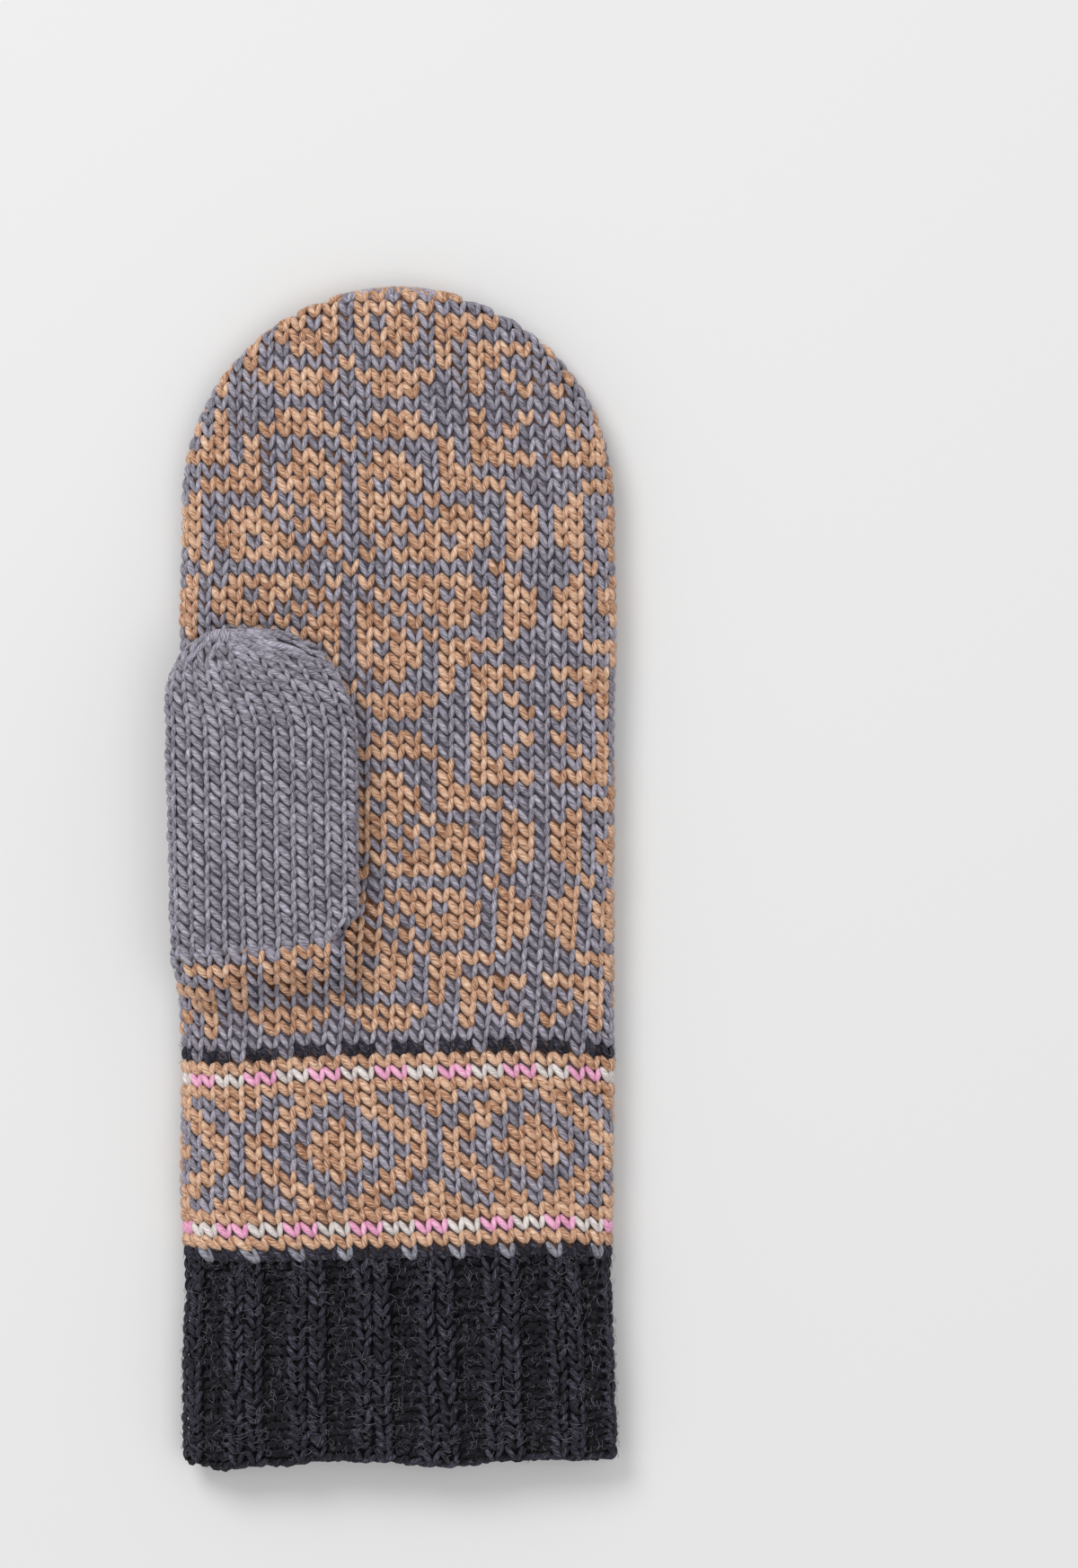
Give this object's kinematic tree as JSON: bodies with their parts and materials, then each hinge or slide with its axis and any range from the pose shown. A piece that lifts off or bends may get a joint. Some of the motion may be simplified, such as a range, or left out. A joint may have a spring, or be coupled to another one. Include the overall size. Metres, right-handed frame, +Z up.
{
  "type": "knitted mitten",
  "caption": "Hand-knitted stranded-colour mitten lying palm up: ribbed cuff, patterned band and hand, plain thumb folded over the palm.",
  "frame": {"origin": "middle of the footprint, on the surface that the mitten lies on", "axes": "+Y towards the fingertips, +Z up out of the palm, the thumb on the side of -X"},
  "size_m": [0.1052, 0.2752, 0.024],
  "materials": {
    "charcoal_wool": "charcoal heathered wool yarn, hairy, knitted two by two rib",
    "tan_wool": "warm tan wool yarn, plied, matt, stockinette",
    "patterned_wool": "stranded stockinette in tan and lilac grey wool, matt",
    "grey_wool": "lilac grey wool yarn, plied, matt, stockinette"
  },
  "bodies": {
    "root": {"cuff": "charcoal_wool", "border_band": "tan_wool", "hand": "patterned_wool", "thumb": "grey_wool"}
  },
  "joints": []
}
